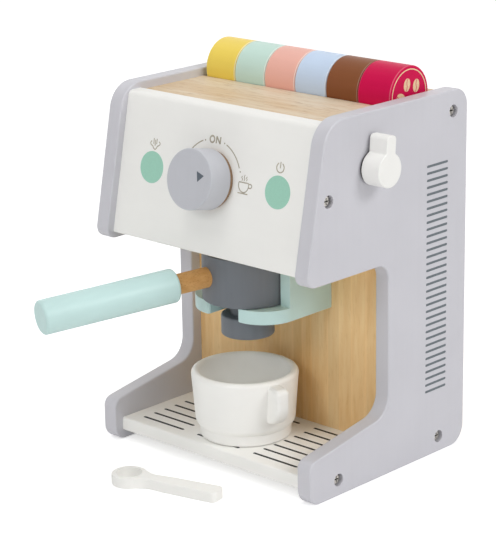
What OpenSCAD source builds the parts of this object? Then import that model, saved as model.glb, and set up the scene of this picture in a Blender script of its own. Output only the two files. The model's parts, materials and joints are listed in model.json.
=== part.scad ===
// Toy coffee maker: a small wooden espresso machine for pretend play.
// Frame: +Z up, +X to the machine's right, -Y towards the child who plays at it.
// Origin: on the floor, at the middle of the side panels' footprint.

/* [Side panels] */
// Width over both side panels
body_w = 201; // [192:1:230]
// Height of the side panels
body_h = 261; // [255:1:285]
// Depth of a side panel's foot, front to back
foot_d = 166; // [160:1:185]
// Thickness of a side panel
side_t = 12; // [10:0.5:13]
// Height of the head's underside
head_z = 152.4; // [150:0.1:155]
// How far the head's lower corner stands in front of the foot
head_overhang = 2.5; // [0:0.5:5]
// Lean of the face, away from upright
face_tilt = 11.2; // [7:0.2:13]
// Depth of the brewing space, from the foot's nose back to the column
bay_d = 81.5; // [78:0.5:87]
// Height of the foot's nose
foot_nose_z = 31; // [27:1:35]
// Height at which the foot's sloping top would meet the column
foot_heel_z = 44.5; // [39:0.5:50]
// Rounding of the side panels' edges
edge_r = 1.25; // [1:0.25:2.5]
// Radius of the head's top front corner
brow_r = 20; // [12:1:24]
// Radius of the head's lower front corner
chin_r = 8; // [5:1:10]
// Radius of the top rear corner
crown_r = 12.5; // [8:0.5:20]
// Radius of the foot's lower front corner
toe_r = 10; // [6:1:14]
// Radius of the lower rear corner
heel_r = 14; // [6:1:18]
// Radius of the foot's nose
nose_r = 7; // [5:1:8]
// Inner radius between head and column
armpit_r = 11; // [6:1:14]
// Inner radius between column and foot
knee_r = 16.5; // [10:0.5:20]

/* [Boards] */
// Thickness of the white front panel
face_t = 11; // [9:0.5:12]
// How far the front panel sits behind the side panels' edges
face_inset = 5.8; // [3:0.2:7]
// Height of the front panel's lower edge
face_z = 157; // [156:0.5:159]
// Rounding of the front panel's upper edge
face_brow_r = 4; // [2:0.5:5]
// Rounding of the front panel's lower edge
face_chin_r = 1.5; // [1:0.25:3]
// How far the front panel stands above the top board
face_lip = 1.5; // [0.5:0.1:2]
// Thickness of the top board
top_t = 21; // [20:0.5:24]
// How far the side panels stand above the top board
rail_h = 6.1; // [4:0.1:7]
// Rounding of the top board's rear edge
top_edge_r = 1.5; // [1:0.25:3]
// Thickness of the base board
base_t = 10; // [9:0.5:12]
// Space under the base board
base_z = 6.7; // [4:0.1:8]
// How far the base board sits behind the feet
base_inset = 7.2; // [5:0.2:9]
// Rounding of the base board's front edge
base_edge_r = 1.5; // [1:0.25:3]
// Thickness of the column board
column_t = 10; // [8:0.5:12]
// How far the column board sits behind the side panels' column edges
column_inset = 8.6; // [6:0.1:10]
// Thickness of the back board
back_t = 9; // [8:0.5:11]
// How far the back board sits inside the rear edge
back_inset = 1; // [0.5:0.5:2]
// Thickness of the board that closes the head from below
head_floor_t = 9; // [8:0.5:11]

/* [Line work] */
// Depth of the inked grooves
groove_depth = 0.4; // [0.2:0.1:0.8]
// Width of a vent line
vent_w = 1.8; // [1.4:0.1:2.6]
// Width of a drip line
drip_w = 2.4; // [1.4:0.1:2.8]
// Number of vent lines on each side
vent_n = 34; // [20:1:34]
// Height of the lowest vent line
vent_z = 48.9; // [42:0.1:54]
// Distance from one vent line to the next
vent_pitch = 4.94; // [4:0.02:5]
// Length of a vent line
vent_len = 23; // [16:0.5:28]
// Distance from the rear edge to the vent lines
vent_rear = 21.3; // [18:0.1:26]
// Rows of drip lines on the base board
drip_rows = 7; // [4:1:7]
// Distance from one drip row to the next
drip_pitch = 10.55; // [8:0.05:10.6]
// Distance from the base board's front to the first drip row
drip_front = 11.2; // [8:0.2:12]
// Length of a drip line
drip_len = 41; // [30:0.5:42]
// Space between the ends of neighbouring drip lines
drip_gap = 13.5; // [8:0.5:14]
// How far the drip lines sit to the left of the middle
drip_shift = 2.7; // [0:0.1:4]

/* [Coffee pods] */
// Radius of a pod
pod_r = 20.6; // [19:0.1:21.2]
// Space between two pods
pod_gap = 0.3; // [0.2:0.05:0.4]
// Space between the row of pods and the left side panel
pod_margin = 3.1; // [1:0.1:5]
// Space between the row of pods and the right side panel
pod_end = 1.7; // [1:0.1:5]
// Height of the pods' middle over the top board
pod_rise = 5.4; // [4:0.2:7]
// Distance from the rear edge to the pods' middle
pod_rear = 47.2; // [40:0.1:50]
// Rounding of a pod's rims
pod_edge = 1; // [0.5:0.1:2]

/* [Dial] */
// Radius of the dial
dial_r = 20.9; // [16:0.1:22]
// Thickness of the dial
dial_t = 19; // [17:0.5:24]
// Space between the dial and the front panel
dial_gap = 3; // [1.6:0.1:3.5]
// Height of the dial's middle over the front panel's, along its slope
dial_rise = 1.4; // [0:0.1:3]
// Radius of the dial's axle
dial_axle_r = 4; // [3:0.25:5]
// Depth of the axle's hole in the dial
dial_hole = 12; // [8:0.5:14]
// Radius of the stop ring on the axle's inner end
dial_stop_r = 10; // [8:0.5:13]

/* [Steam knob] */
// Radius of the steam knob
steam_r = 11.8; // [10.5:0.1:13]
// Thickness of the steam knob
steam_t = 15.2; // [13:0.2:18]
// Space between the steam knob and the side panel
steam_gap = 1.5; // [1.2:0.1:2]
// Width of the steam knob's tab
steam_tab_w = 9.4; // [7:0.2:11]
// Reach of the tab from the knob's middle
steam_tab = 23.2; // [20:0.2:26]
// Rounding of the tab's corners
steam_tab_r = 3.2; // [1.5:0.1:3.4]
// Turn of the tab towards the rear, away from upright
steam_turn = 5; // [0:1:10]
// Distance of the steam knob from the rear edge
steam_rear = 103.7; // [98:0.1:108]
// Distance of the steam knob's middle below the top board
steam_below = 10.4; // [8.4:0.1:14]
// Radius of the steam knob's axle
steam_axle_r = 3; // [2.5:0.25:4]
// Depth of the axle's hole in the steam knob
steam_hole = 10; // [7:0.5:10]
// Radius of the stop ring on the axle's inner end
steam_stop_r = 7; // [6:0.5:8]

/* [Group holder] */
// Half the width of the holder
holder_half = 41.3; // [40:0.1:44]
// Height of the holder's underside
holder_z = 107; // [105:0.5:109]
// Thickness of the ledge that carries the basket
ledge_t = 10; // [8:0.5:11]
// Reach of the ledge in front of the basket's middle
ledge_reach = 25; // [23:0.5:30]
// Radius of the ledge's front corners, as far as its two arms allow
ledge_r = 25; // [18:0.5:25]
// Half the width of the slot for the neck
slot_half = 13.5; // [12.8:0.1:15]
// Radius of the corners at the slot's mouth
slot_mouth_r = 2.2; // [1.8:0.1:3]
// How far the holder's side walls reach in front of the basket's middle
wall_reach = 1.2; // [0:0.2:4]
// Rounding of the holder's edges
holder_edge = 1; // [0.5:0.25:1.5]
// Distance from the column board to the basket's middle
basket_out = 42.1; // [40:0.1:45]

/* [Portafilter] */
// Radius of the basket
basket_r = 31.6; // [29:0.1:32.5]
// Height of the basket
basket_h = 34.7; // [34.5:0.1:36.5]
// Clearance around the basket in the holder
basket_clear = 1; // [0.6:0.1:1.2]
// Clearance around a pod in the basket's well
well_clear = 1; // [0.6:0.1:1.6]
// Radius of the neck under the basket
neck_r = 12.2; // [10:0.1:12.3]
// Radius of the spout disc
spout_r = 18.8; // [16:0.1:22]
// Height of the spout disc
spout_h = 15; // [13:0.5:17]
// Space between the spout disc and the ledge
spout_gap = 1.5; // [1:0.1:2.5]
// Wall of the spout disc under the hole for the neck's tenon
spout_skin = 4; // [3:0.5:6]
// Wall between the basket's well and the peg
peg_wall = 1.5; // [1:0.1:3]
// Radius of the wooden peg between basket and grip
peg_r = 7.2; // [6:0.1:8]
// Height of the peg's axis over the ledge, at the basket's middle
peg_rise = 21.2; // [18:0.1:23]
// Turn of the handle to the left
handle_turn = 19; // [0:0.1:25]
// Drop of the handle, away from level
handle_drop = 4.2; // [0:0.1:5]
// Distance from the basket's middle to the near end of the grip
grip_start = 56.4; // [50:0.1:66]
// Length of the grip
grip_len = 100; // [95:0.5:130]
// Radius of the grip
grip_r = 12; // [10:0.1:13]
// Rounding of the grip's ends
grip_round = 2.2; // [1:0.1:6]
// Depth of the peg's hole in the grip
peg_in_grip = 30; // [20:1:40]

/* [Cup] */
// Radius of the cup's rim
cup_r = 38.1; // [37:0.1:40]
// Radius of the cup's belly, just above its foot
cup_belly_r = 35.7; // [33.5:0.1:36]
// Radius of the rounding under the belly
cup_belly_round = 6; // [5:0.1:7]
// Height of the cup
cup_h = 48; // [44:0.2:52]
// Wall of the cup
cup_wall = 6; // [3.6:0.1:7]
// Thickness of the cup's floor
cup_floor = 6; // [5:0.5:8]
// Radius of the cup's foot
cup_foot_r = 32.6; // [29:0.1:34]
// Height of the cup's foot
cup_foot_h = 8; // [3:0.1:10]
// Distance of the cup's middle to the left of the machine's middle
cup_left = 1; // [0:0.5:6]
// Distance from the cup's middle back to the column board
cup_out = 45; // [42:0.5:48]
// Thickness of the cup's ear
ear_t = 10.5; // [7:0.1:12]
// Reach of the ear beyond the rim
ear_reach = 12.2; // [10:0.1:15]
// Height of the ear's underside over the cup's foot
ear_low = 17; // [10:0.5:20]
// How far the ear's top lies below the rim
ear_drop = 2.6; // [1:0.1:6]
// Radius of the ear's lower corner
ear_low_r = 15; // [8:0.5:16]
// Radius of the ear's upper corner
ear_top_r = 4; // [2.5:0.5:7]
// Rounding of the ear's edges
ear_edge = 3; // [1:0.25:3.5]
// Turn of the ear from the machine's right towards the front
ear_turn = 14; // [0:1:60]

/* [Spoon] */
// Outer radius of the spoon's ring
spoon_ring_r = 12.5; // [11.5:0.1:15]
// Radius of the hole in the ring
spoon_hole_r = 9; // [7:0.1:9.3]
// Reach of the handle from the ring's middle
spoon_len = 71.5; // [60:0.5:90]
// Distance of the spoon's neck from the ring's middle
spoon_waist = 16; // [14:0.5:20]
// Half the width of the spoon's neck
spoon_neck = 5; // [3:0.1:6]
// Half the width of the handle's end
spoon_end = 7.2; // [6.5:0.1:9]
// Thickness of the spoon
spoon_t = 7.7; // [6:0.1:9]
// Rounding of the spoon's edges
spoon_edge = 0.8; // [0.5:0.1:2]
// Distance of the ring's middle to the left of the machine's middle
spoon_left = 24.2; // [0:0.1:40]
// Distance of the ring's middle in front of the feet
spoon_front = 48; // [40:0.5:60]
// Turn of the handle towards the machine
spoon_turn = 14.8; // [0:0.1:20]

/* [Joinery] */
// Radius of a screw's head
screw_head_r = 3.8; // [3:0.1:3.9]
// Height of a screw's head
screw_head_h = 2.2; // [1.6:0.1:3]
// Radius of a screw's shank
screw_r = 1.75; // [1.4:0.05:2.2]
// Length of a screw under its head
screw_len = 26; // [20:1:30]
// Depth of the counterbores in the side panels
screw_sink = 4.5; // [3.5:0.5:5]
// Radius of the counterbores
counterbore_r = 4.5; // [3.8:0.1:5]
// Distance from the rear edge to the top board's screws
top_screw_rear = 15.8; // [14:0.1:20]
// Depth of the top board's screws below its top
top_screw_drop = 8.8; // [8:0.1:12]
// Distance from the base board's front to its front screws
base_screw_front = 21.7; // [16:0.1:28]
// Distance from the rear edge to the base board's rear screws
base_screw_rear = 28.7; // [22:0.1:34]
// Distance of the group holder's screws from its sides
holder_screw_in = 9.7; // [7:0.1:11]
// Height of the group holder's lower screws over the ledge
holder_screw_low = 6; // [5:0.5:10]
// Distance between the group holder's lower and upper screws
holder_screw_pitch = 22; // [18:0.5:26]
// Distance of the dowels from a board's ends
dowel_margin = 24; // [20:1:28]
// Radius of a frame dowel
dowel_r = 3; // [2.5:0.25:3.5]
// Length of a frame dowel
dowel_len = 20; // [16:1:26]
// Depth of a frame dowel in a side panel
dowel_in_side = 7; // [5:0.5:8]
// Space between a washer and the knob over it
washer_play = 0.4; // [0.3:0.1:0.6]
// How far a washer's rim lies inside the knob's
washer_in = 1; // [0.5:0.1:2]
// Thickness of the stop rings
stop_t = 5; // [4:0.5:7]
// Clearance around glued and screwed pieces
glue_gap = 0.05; // [0.02:0.01:0.08]
// Clearance around turning axles
run_gap = 0.08; // [0.03:0.01:0.1]
// Clearance around pieces that are set down, slide or turn
rest_gap = 0.3; // [0.15:0.05:0.4]

/* [Hidden] */

$fn = 96;
fine = 0.01;            // overlap that keeps cuts clean
corner_step = 9;        // degrees between the points of a rounded corner
edge_step = 22.5;       // degrees between the points of a small rounded edge
soft_edge = 0.8;        // rounding of the turned pieces
washer_round = 0.2;     // rounding of the washers

grey = [0.77, 0.77, 0.80];
white = [0.90, 0.90, 0.88];
mint = [0.66, 0.84, 0.79];
charcoal = [0.38, 0.40, 0.42];
birch = [0.86, 0.76, 0.58];
beech = [0.80, 0.58, 0.36];
steel = [0.75, 0.74, 0.72];
pod_colours = [[0.93, 0.82, 0.35], [0.69, 0.84, 0.78], [0.91, 0.67, 0.59],
    [0.73, 0.80, 0.90], [0.50, 0.29, 0.16], [0.80, 0.08, 0.31]];

inner_w = body_w - 2 * side_t;
board_w = inner_w - 2 * glue_gap;
foot_front = -foot_d / 2;
rear = foot_d / 2;
column_y = foot_front + bay_d;
slope = tan(face_tilt);
chin_y = foot_front - head_overhang;
brow_y = chin_y + (body_h - head_z) * slope;

// where the front panel's outer face is at height z
face_y0 = chin_y + (face_z - head_z) * slope + face_inset / cos(face_tilt);
face_depth = face_t / cos(face_tilt);
function face_y(z) = face_y0 + (z - face_z) * slope;

top_z = body_h - rail_h;
top_low = top_z - top_t;
face_top = top_z + face_lip;
dial_h = (face_top - face_z) / cos(face_tilt) / 2 + dial_rise;
dial_z = face_z + dial_h * cos(face_tilt);
base_top = base_z + base_t;
base_front = foot_front + base_inset;
board_y = column_y + column_inset;
back_y = rear - back_inset - back_t;
floor_top = face_z + head_floor_t;

pod_n = len(pod_colours);
pod_len = (inner_w - pod_margin - pod_end + pod_gap) / pod_n - pod_gap;
pod_y = rear - pod_rear;
pod_z = top_z + pod_rise;
pod_x = -inner_w / 2 + pod_margin;
trough_r = pod_r + rest_gap;

basket_y = board_y - basket_out;
ledge_z = holder_z + ledge_t;
basket_z = ledge_z + rest_gap;
holder_top = face_z - glue_gap;
holder_back = board_y - glue_gap;
well_r = pod_r + well_clear;
well_depth = pod_len + rest_gap;
neck_z = holder_z - spout_gap;
spout_z = neck_z - spout_h;
peg_z = ledge_z + peg_rise;
peg_seat = well_r + peg_wall;
tenon_r = neck_r / 2;
tenon_len = spout_h - spout_skin;

steam_y = rear - steam_rear;
steam_z = top_low - steam_below;
cup_y = board_y - cup_out;
cup_z = base_top + rest_gap;
spoon_y = foot_front - spoon_front;

// [depth, height] of the side panels' screws and dowels, by the board that they hold
top_mid = top_z - top_t / 2;
base_mid = base_z + base_t / 2;
column_mid = board_y + column_t / 2;
back_mid = back_y + back_t / 2;
floor_mid = face_z + head_floor_t / 2;
function in_face(z) = [face_y(z) + face_depth / 2, z];
face_screws = [in_face(dial_z)];
top_screws = [[rear - top_screw_rear, top_z - top_screw_drop]];
base_screws = [[base_front + base_screw_front, base_mid], [rear - base_screw_rear, base_mid]];
screw_places = concat(face_screws, top_screws, base_screws);
low_dowel_z = base_top + dowel_margin;
high_dowel_z = top_low - dowel_margin;
face_dowels = [in_face(face_z + dowel_margin), in_face(top_z - dowel_margin)];
top_dowels = [[in_face(top_mid)[0] + dowel_margin, top_mid],
    [pod_y - trough_r - dowel_margin / 2, top_mid]];
base_dowels = [[column_y, base_mid]];
column_dowels = [for (z = [low_dowel_z, (low_dowel_z + high_dowel_z) / 2, high_dowel_z])
    [column_mid, z]];
back_dowels = [for (z = [low_dowel_z, high_dowel_z]) [back_mid, z]];
floor_dowels = [for (k = [1, 2]) [board_y - k * dowel_margin, floor_mid]];
dowel_places = concat(face_dowels, top_dowels, base_dowels, column_dowels, back_dowels,
    floor_dowels);

// [across, height] of the screws that hold the group holder to the column board
holder_screw_x = holder_half - holder_screw_in;
holder_screw_z = ledge_z + holder_screw_low;
holder_screw_places = [for (x = [-holder_screw_x, holder_screw_x],
    z = [holder_screw_z, holder_screw_z + holder_screw_pitch]) [x, z]];

// ---------- outlines ----------

function unit(v) = v / norm(v);
function left_of(v) = [-v[1], v[0]];
function turned(v, a) = [v[0] * cos(a) - v[1] * sin(a), v[0] * sin(a) + v[1] * cos(a)];
function turn_between(a, b) = atan2(a[0] * b[1] - a[1] * b[0], a * b);

// Points on an arc about c, from angle a0 to a1
function arc(c, r, a0, a1, step = corner_step) =
    let (n = max(1, ceil(abs(a1 - a0) / step)))
    [for (k = [0:n]) let (a = a0 + (a1 - a0) * k / n) c + r * [cos(a), sin(a)]];

// Points of the corner p = [x, y, radius], reached in direction a and left in direction b
function corner(p, a, b) =
    let (t = turn_between(a, b), arm = sign(t) * p[2] * left_of(a),
        start = [p[0], p[1]] - a * p[2] * tan(abs(t) / 2),
        n = ceil(abs(t) / corner_step))
    p[2] == 0
        ? [[p[0], p[1]]]
        : [for (k = [0:n]) start + arm - turned(arm, t * k / n)];

// A closed outline without points that lie on the next one
function cleaned(q) = [for (i = [0:len(q) - 1]) if (norm(q[i] - q[(i + 1) % len(q)]) > fine) q[i]];

// Closed outline from corners [x, y, radius], listed anticlockwise
function outline(p) =
    let (n = len(p), q = [for (c = p) [c[0], c[1]]])
    cleaned([for (i = [0:n - 1])
        each corner(p[i], unit(q[i] - q[(i + n - 1) % n]), unit(q[(i + 1) % n] - q[i]))]);

// The same outline, d further in
function inset(q, d) =
    let (n = len(q))
    [for (i = [0:n - 1])
        let (a = left_of(unit(q[i] - q[(i + n - 1) % n])),
            b = left_of(unit(q[(i + 1) % n] - q[i])))
        q[i] + d * (a + b) / (1 + a * b)];

// ---------- basic forms ----------

// Whether point p lies in the triangle a, b, c, listed anticlockwise, or on its edge
function in_triangle(p, a, b, c) =
    cross(b - a, p - a) >= 0 && cross(c - b, p - b) >= 0 && cross(a - c, p - c) >= 0;

// Whether corner i of those left, k, sticks out with no other corner inside its triangle
function is_ear(q, k, i) =
    let (n = len(k), before = k[(i + n - 1) % n], after = k[(i + 1) % n],
        a = q[before], b = q[k[i]], c = q[after])
    cross(b - a, c - b) > 0
        && len([for (j = k) if (j != before && j != k[i] && j != after
            && in_triangle(q[j], a, b, c)) j]) == 0;

function first_ear(q, k, i = 0) =
    i == len(k) - 1 || is_ear(q, k, i) ? i : first_ear(q, k, i + 1);

// Triangles that fill the outline q, by cutting off one of its corners k after another
function triangles(q, k) =
    let (n = len(k), i = first_ear(q, k))
    n == 3
        ? [k]
        : concat([[k[(i + n - 1) % n], k[i], k[(i + 1) % n]]],
            triangles(q, [for (j = [0:n - 1]) if (j != i) k[j]]));

// A board of thickness t from z = 0 up, with both its rims rounded to radius r
module soft_board(q, t, r) {
    n = len(q);
    rim = arc([r, r], r, 270, 180, 30);
    last = len(rim) - 1;
    levels = concat(rim, [for (k = [last:-1:0]) [rim[k][0], t - rim[k][1]]]);
    m = len(levels);
    flat = triangles(inset(q, r), [for (i = [0:n - 1]) i]);
    polyhedron(
        points = [for (l = levels) each [for (p = inset(q, l[0])) [p[0], p[1], l[1]]]],
        faces = concat(
            flat,
            [for (j = [0:m - 2], i = [0:n - 1]) let (k = (i + 1) % n)
                [j * n + i, (j + 1) * n + i, (j + 1) * n + k, j * n + k]],
            [for (f = flat) [for (i = [2:-1:0]) (m - 1) * n + f[i]]]));
}

// A turned rod from z = 0 up, with both ends rounded to radius e
module rod(len, r, e = soft_edge) {
    rotate_extrude()
        polygon(concat([[0, 0]], arc([r - e, e], e, -90, 0, edge_step),
            arc([r - e, len - e], e, 0, 90, edge_step), [[0, len]]));
}

// A ring from z = 0 up
module ring(len, r, hole, e = soft_edge) {
    difference() {
        rod(len, r, e);
        translate([0, 0, -fine]) cylinder(h = len + 2 * fine, r = hole);
    }
}

// Stands a form drawn in (depth, height) across the machine, from x on
module across(x = 0) {
    translate([x, 0, 0]) rotate([90, 0, 90]) children();
}

// A board between the side panels, from its (depth, height) profile
module cross_board(profile) {
    across(-board_w / 2) linear_extrude(board_w) polygon(profile);
}

// The front panel's own frame: x across, y up the slope from its lower edge, z outwards
module on_face() {
    translate([0, face_y0, face_z]) rotate([90 - face_tilt, 0, 0]) children();
}

// The right side panel's outer face at [depth, height], z outwards
module on_side(place) {
    translate([body_w / 2, place[0], place[1]]) rotate([90, 0, 90]) children();
}

// The portafilter's handle: z runs out along it from the basket's middle
module on_handle() {
    translate([0, basket_y, peg_z]) rotate([90 + handle_drop, 0, -handle_turn]) children();
}

// The column board's rear face at [across, height], z to the rear
module on_column(place) {
    translate([place[0], board_y + column_t, place[1]]) rotate([-90, 0, 0]) children();
}

module both_sides() {
    children();
    mirror([1, 0, 0]) children();
}

// ---------- joinery ----------

// A screw whose head lies on z = 0 and whose shank points down
module screw() {
    difference() {
        union() {
            rod(screw_head_h, screw_head_r, soft_edge);
            translate([0, 0, -screw_len]) cylinder(h = screw_len + fine, r = screw_r, $fn = 32);
        }
        for (a = [0, 90]) rotate([0, 0, a])
            translate([-screw_head_r * 0.6, -0.4, screw_head_h - 1])
                cube([screw_head_r * 1.2, 0.8, 2]);
    }
}

// Holes for the shank and the tip of a screw, from z = 0 down
module screw_hole() {
    translate([0, 0, -screw_len - rest_gap])
        cylinder(h = screw_len + rest_gap + fine, r = screw_r + glue_gap, $fn = 32);
}

// The holes that screws and dowels need in a board between the side panels
module board_holes(screws, dowels) {
    both_sides() {
        for (p = screws) on_side(p) translate([0, 0, -screw_sink]) screw_hole();
        for (p = dowels) on_side(p) dowel_hole();
    }
}

module dowel_hole() {
    translate([0, 0, -side_t + dowel_in_side - dowel_len - glue_gap])
        cylinder(h = dowel_len + 2 * glue_gap, r = dowel_r + glue_gap, $fn = 48);
}

module side_screws() {
    color(steel)
        both_sides()
            for (p = screw_places)
                on_side(p) translate([0, 0, glue_gap - screw_sink]) screw();
}

module frame_dowels() {
    color(beech)
        both_sides()
            for (p = dowel_places)
                on_side(p) translate([0, 0, -side_t + dowel_in_side - dowel_len])
                    cylinder(h = dowel_len, r = dowel_r, $fn = 48);
}

module holder_screws() {
    color(steel)
        for (p = holder_screw_places)
            on_column(p) translate([0, 0, glue_gap - screw_head_h]) screw();
}

// ---------- frame ----------

side_corners = [
    [foot_front, 0, toe_r],
    [rear, 0, heel_r],
    [rear, body_h, crown_r],
    [brow_y, body_h, brow_r],
    [chin_y, head_z, chin_r],
    [column_y, head_z, armpit_r],
    [column_y, foot_heel_z, knee_r],
    [foot_front, foot_nose_z, nose_r]];

// One inked line from the origin along x, with round ends, sunk by groove_depth below z = 0
module inked_line(len, width) {
    translate([0, 0, -groove_depth])
        linear_extrude(groove_depth + 1)
            union() {
                translate([width / 2, -width / 2]) square([len - width, width]);
                translate([width / 2, 0]) circle(d = width, $fn = 24);
                translate([len - width / 2, 0]) circle(d = width, $fn = 24);
            }
}

// The right side panel, without what only one side has
module side_panel() {
    difference() {
        across(body_w / 2 - side_t) soft_board(outline(side_corners), side_t, edge_r);
        for (p = screw_places) on_side(p) {
            translate([0, 0, -screw_sink]) cylinder(h = screw_sink + 1, r = counterbore_r);
            translate([0, 0, -screw_sink]) screw_hole();
        }
        for (p = dowel_places) on_side(p) dowel_hole();
        for (k = [0:vent_n - 1])
            on_side([rear - vent_rear - vent_len, vent_z + k * vent_pitch])
                inked_line(vent_len, vent_w);
    }
}

module side_panel_left() {
    color(grey) mirror([1, 0, 0]) side_panel();
}

module side_panel_right() {
    color(grey)
        difference() {
            side_panel();
            on_side([steam_y, steam_z])
                translate([0, 0, -side_t - 1])
                    cylinder(h = side_t + 2, r = steam_axle_r + run_gap);
        }
}

module front_panel() {
    color(white)
        difference() {
            cross_board(outline([
                [face_y(face_z), face_z, face_chin_r],
                [face_y(face_z) + face_depth, face_z, 0],
                [face_y(face_top) + face_depth, face_top, 0],
                [face_y(face_top), face_top, face_brow_r]]));
            board_holes(face_screws, face_dowels);
            on_face() translate([0, dial_h, -face_t - 1])
                cylinder(h = face_t + 2, r = dial_axle_r + run_gap);
        }
}

module top_board() {
    joint = face_depth + glue_gap;
    color(birch)
        difference() {
            cross_board(outline([
                [face_y(top_low) + joint, top_low, 0],
                [rear, top_low, top_edge_r],
                [rear, top_z, top_edge_r],
                [face_y(top_z) + joint, top_z, 0]]));
            across(-body_w / 2)
                translate([pod_y, pod_z, 0]) cylinder(h = body_w, r = trough_r);
            board_holes(top_screws, top_dowels);
        }
}

module base_board() {
    color(white)
        difference() {
            cross_board(outline([
                [base_front, base_z, base_edge_r],
                [back_y - glue_gap, base_z, 0],
                [back_y - glue_gap, base_top, 0],
                [base_front, base_top, base_edge_r]]));
            for (row = [0:drip_rows - 1], k = [-1:1])
                translate([k * (drip_len + drip_gap) - drip_len / 2 - drip_shift,
                    base_front + drip_front + row * drip_pitch, base_top])
                    inked_line(drip_len, drip_w);
            board_holes(base_screws, base_dowels);
        }
}

module column_board() {
    color(birch)
        difference() {
            translate([-board_w / 2, board_y, base_top + glue_gap])
                cube([board_w, column_t, top_low - base_top - 2 * glue_gap]);
            board_holes([], column_dowels);
            for (p = holder_screw_places) on_column(p) {
                translate([0, 0, -screw_head_h])
                    cylinder(h = screw_head_h + 1, r = screw_head_r + rest_gap);
                translate([0, 0, -screw_head_h]) screw_hole();
            }
        }
}

module back_board() {
    color(birch)
        difference() {
            translate([-board_w / 2, back_y, base_z])
                cube([board_w, back_t, top_low - base_z - glue_gap]);
            board_holes([], back_dowels);
        }
}

module head_floor() {
    joint = face_depth + glue_gap;
    color(birch)
        difference() {
            cross_board([
                [face_y(face_z) + joint, face_z],
                [board_y - glue_gap, face_z],
                [board_y - glue_gap, floor_top],
                [face_y(floor_top) + joint, floor_top]]);
            board_holes([], floor_dowels);
        }
}

// ---------- group holder ----------

module group_holder() {
    wall_y = basket_y - wall_reach;
    front_y = basket_y - ledge_reach;
    bore_r = basket_r + basket_clear;
    slot_end = basket_y + slot_half;
    front_r = min(ledge_r, holder_half - slot_half - slot_mouth_r);
    over = holder_top - ledge_z + 1;
    plan = outline([
        [-holder_half, holder_back, 0],
        [-holder_half, front_y, front_r],
        [-slot_half, front_y, slot_mouth_r],
        [-slot_half, slot_end, slot_half],
        [slot_half, slot_end, slot_half],
        [slot_half, front_y, slot_mouth_r],
        [holder_half, front_y, front_r],
        [holder_half, holder_back, 0]]);
    color(mint)
        difference() {
            translate([0, 0, holder_z])
                soft_board(plan, holder_top - holder_z, holder_edge);
            translate([0, basket_y, ledge_z]) cylinder(h = over, r = bore_r);
            translate([-holder_half - 1, front_y - 1, ledge_z])
                cube([2 * holder_half + 2, wall_y - front_y + 1, over]);
            for (p = holder_screw_places) on_column(p)
                translate([0, 0, -screw_head_h]) screw_hole();
        }
}

// ---------- portafilter ----------

module portafilter_basket() {
    color(charcoal)
        difference() {
            translate([0, basket_y, 0]) union() {
                translate([0, 0, basket_z]) rod(basket_h, basket_r);
                translate([0, 0, neck_z]) cylinder(h = basket_z - neck_z + 1, r = neck_r);
                translate([0, 0, neck_z - tenon_len]) cylinder(h = tenon_len + 1, r = tenon_r);
            }
            translate([0, basket_y, basket_z + basket_h - well_depth])
                cylinder(h = well_depth + 1, r = well_r);
            on_handle() translate([0, 0, peg_seat])
                cylinder(h = basket_r, r = peg_r + glue_gap);
        }
}

module portafilter_spout() {
    color(charcoal)
        translate([0, basket_y, spout_z])
            difference() {
                rod(spout_h - glue_gap, spout_r, 1.5);
                translate([0, 0, spout_h - tenon_len - rest_gap])
                    cylinder(h = spout_h, r = tenon_r + glue_gap);
            }
}

module portafilter_peg() {
    color(beech)
        on_handle() translate([0, 0, peg_seat + glue_gap])
            cylinder(h = grip_start + peg_in_grip - peg_seat - 2 * glue_gap, r = peg_r);
}

module portafilter_grip() {
    color(mint)
        on_handle() translate([0, 0, grip_start])
            difference() {
                rod(grip_len, grip_r, grip_round);
                translate([0, 0, -1]) cylinder(h = peg_in_grip + 1, r = peg_r + glue_gap);
            }
}

// ---------- dial on the face ----------

module dial_knob() {
    color(grey)
        on_face() translate([0, dial_h, dial_gap])
            difference() {
                rod(dial_t, dial_r);
                translate([0, 0, -1]) cylinder(h = dial_hole + 1, r = dial_axle_r + glue_gap);
            }
}

module dial_axle() {
    inner_end = -face_t - rest_gap - stop_t;
    color(beech)
        on_face() translate([0, dial_h, inner_end])
            cylinder(h = dial_gap + dial_hole - glue_gap - inner_end, r = dial_axle_r);
}

module dial_stop() {
    color(beech)
        on_face() translate([0, dial_h, -face_t - rest_gap - stop_t])
            ring(stop_t, dial_stop_r, dial_axle_r + glue_gap);
}

// A washer on z = 0 that fills the space under a knob of radius r, around an axle
module washer(space, r, axle_r) {
    translate([0, 0, glue_gap])
        ring(space - washer_play - glue_gap, r - washer_in, axle_r + rest_gap, washer_round);
}

module dial_washer() {
    color(beech) on_face() translate([0, dial_h, 0]) washer(dial_gap, dial_r, dial_axle_r);
}

// ---------- steam knob on the right side ----------

module steam_knob() {
    half = steam_tab_w / 2;
    neck = 1.5;
    rise = sqrt(pow(steam_r + neck, 2) - pow(half + neck, 2));
    lean = atan2(rise, half + neck);
    shape = concat(
        arc([0, 0], steam_r, 180 - lean, 360 + lean),
        arc([half + neck, rise], neck, 180 + lean, 180),
        arc([half - steam_tab_r, steam_tab - steam_tab_r], steam_tab_r, 0, 90),
        arc([steam_tab_r - half, steam_tab - steam_tab_r], steam_tab_r, 90, 180),
        arc([-half - neck, rise], neck, 0, -lean));
    color(white)
        on_side([steam_y, steam_z]) translate([0, 0, steam_gap])
            difference() {
                rotate([0, 0, -steam_turn]) soft_board(shape, steam_t, soft_edge);
                translate([0, 0, -1])
                    cylinder(h = steam_hole + 1, r = steam_axle_r + glue_gap);
            }
}

module steam_axle() {
    inner_end = -side_t - rest_gap - stop_t;
    color(beech)
        on_side([steam_y, steam_z]) translate([0, 0, inner_end])
            cylinder(h = steam_gap + steam_hole - glue_gap - inner_end, r = steam_axle_r);
}

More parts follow.
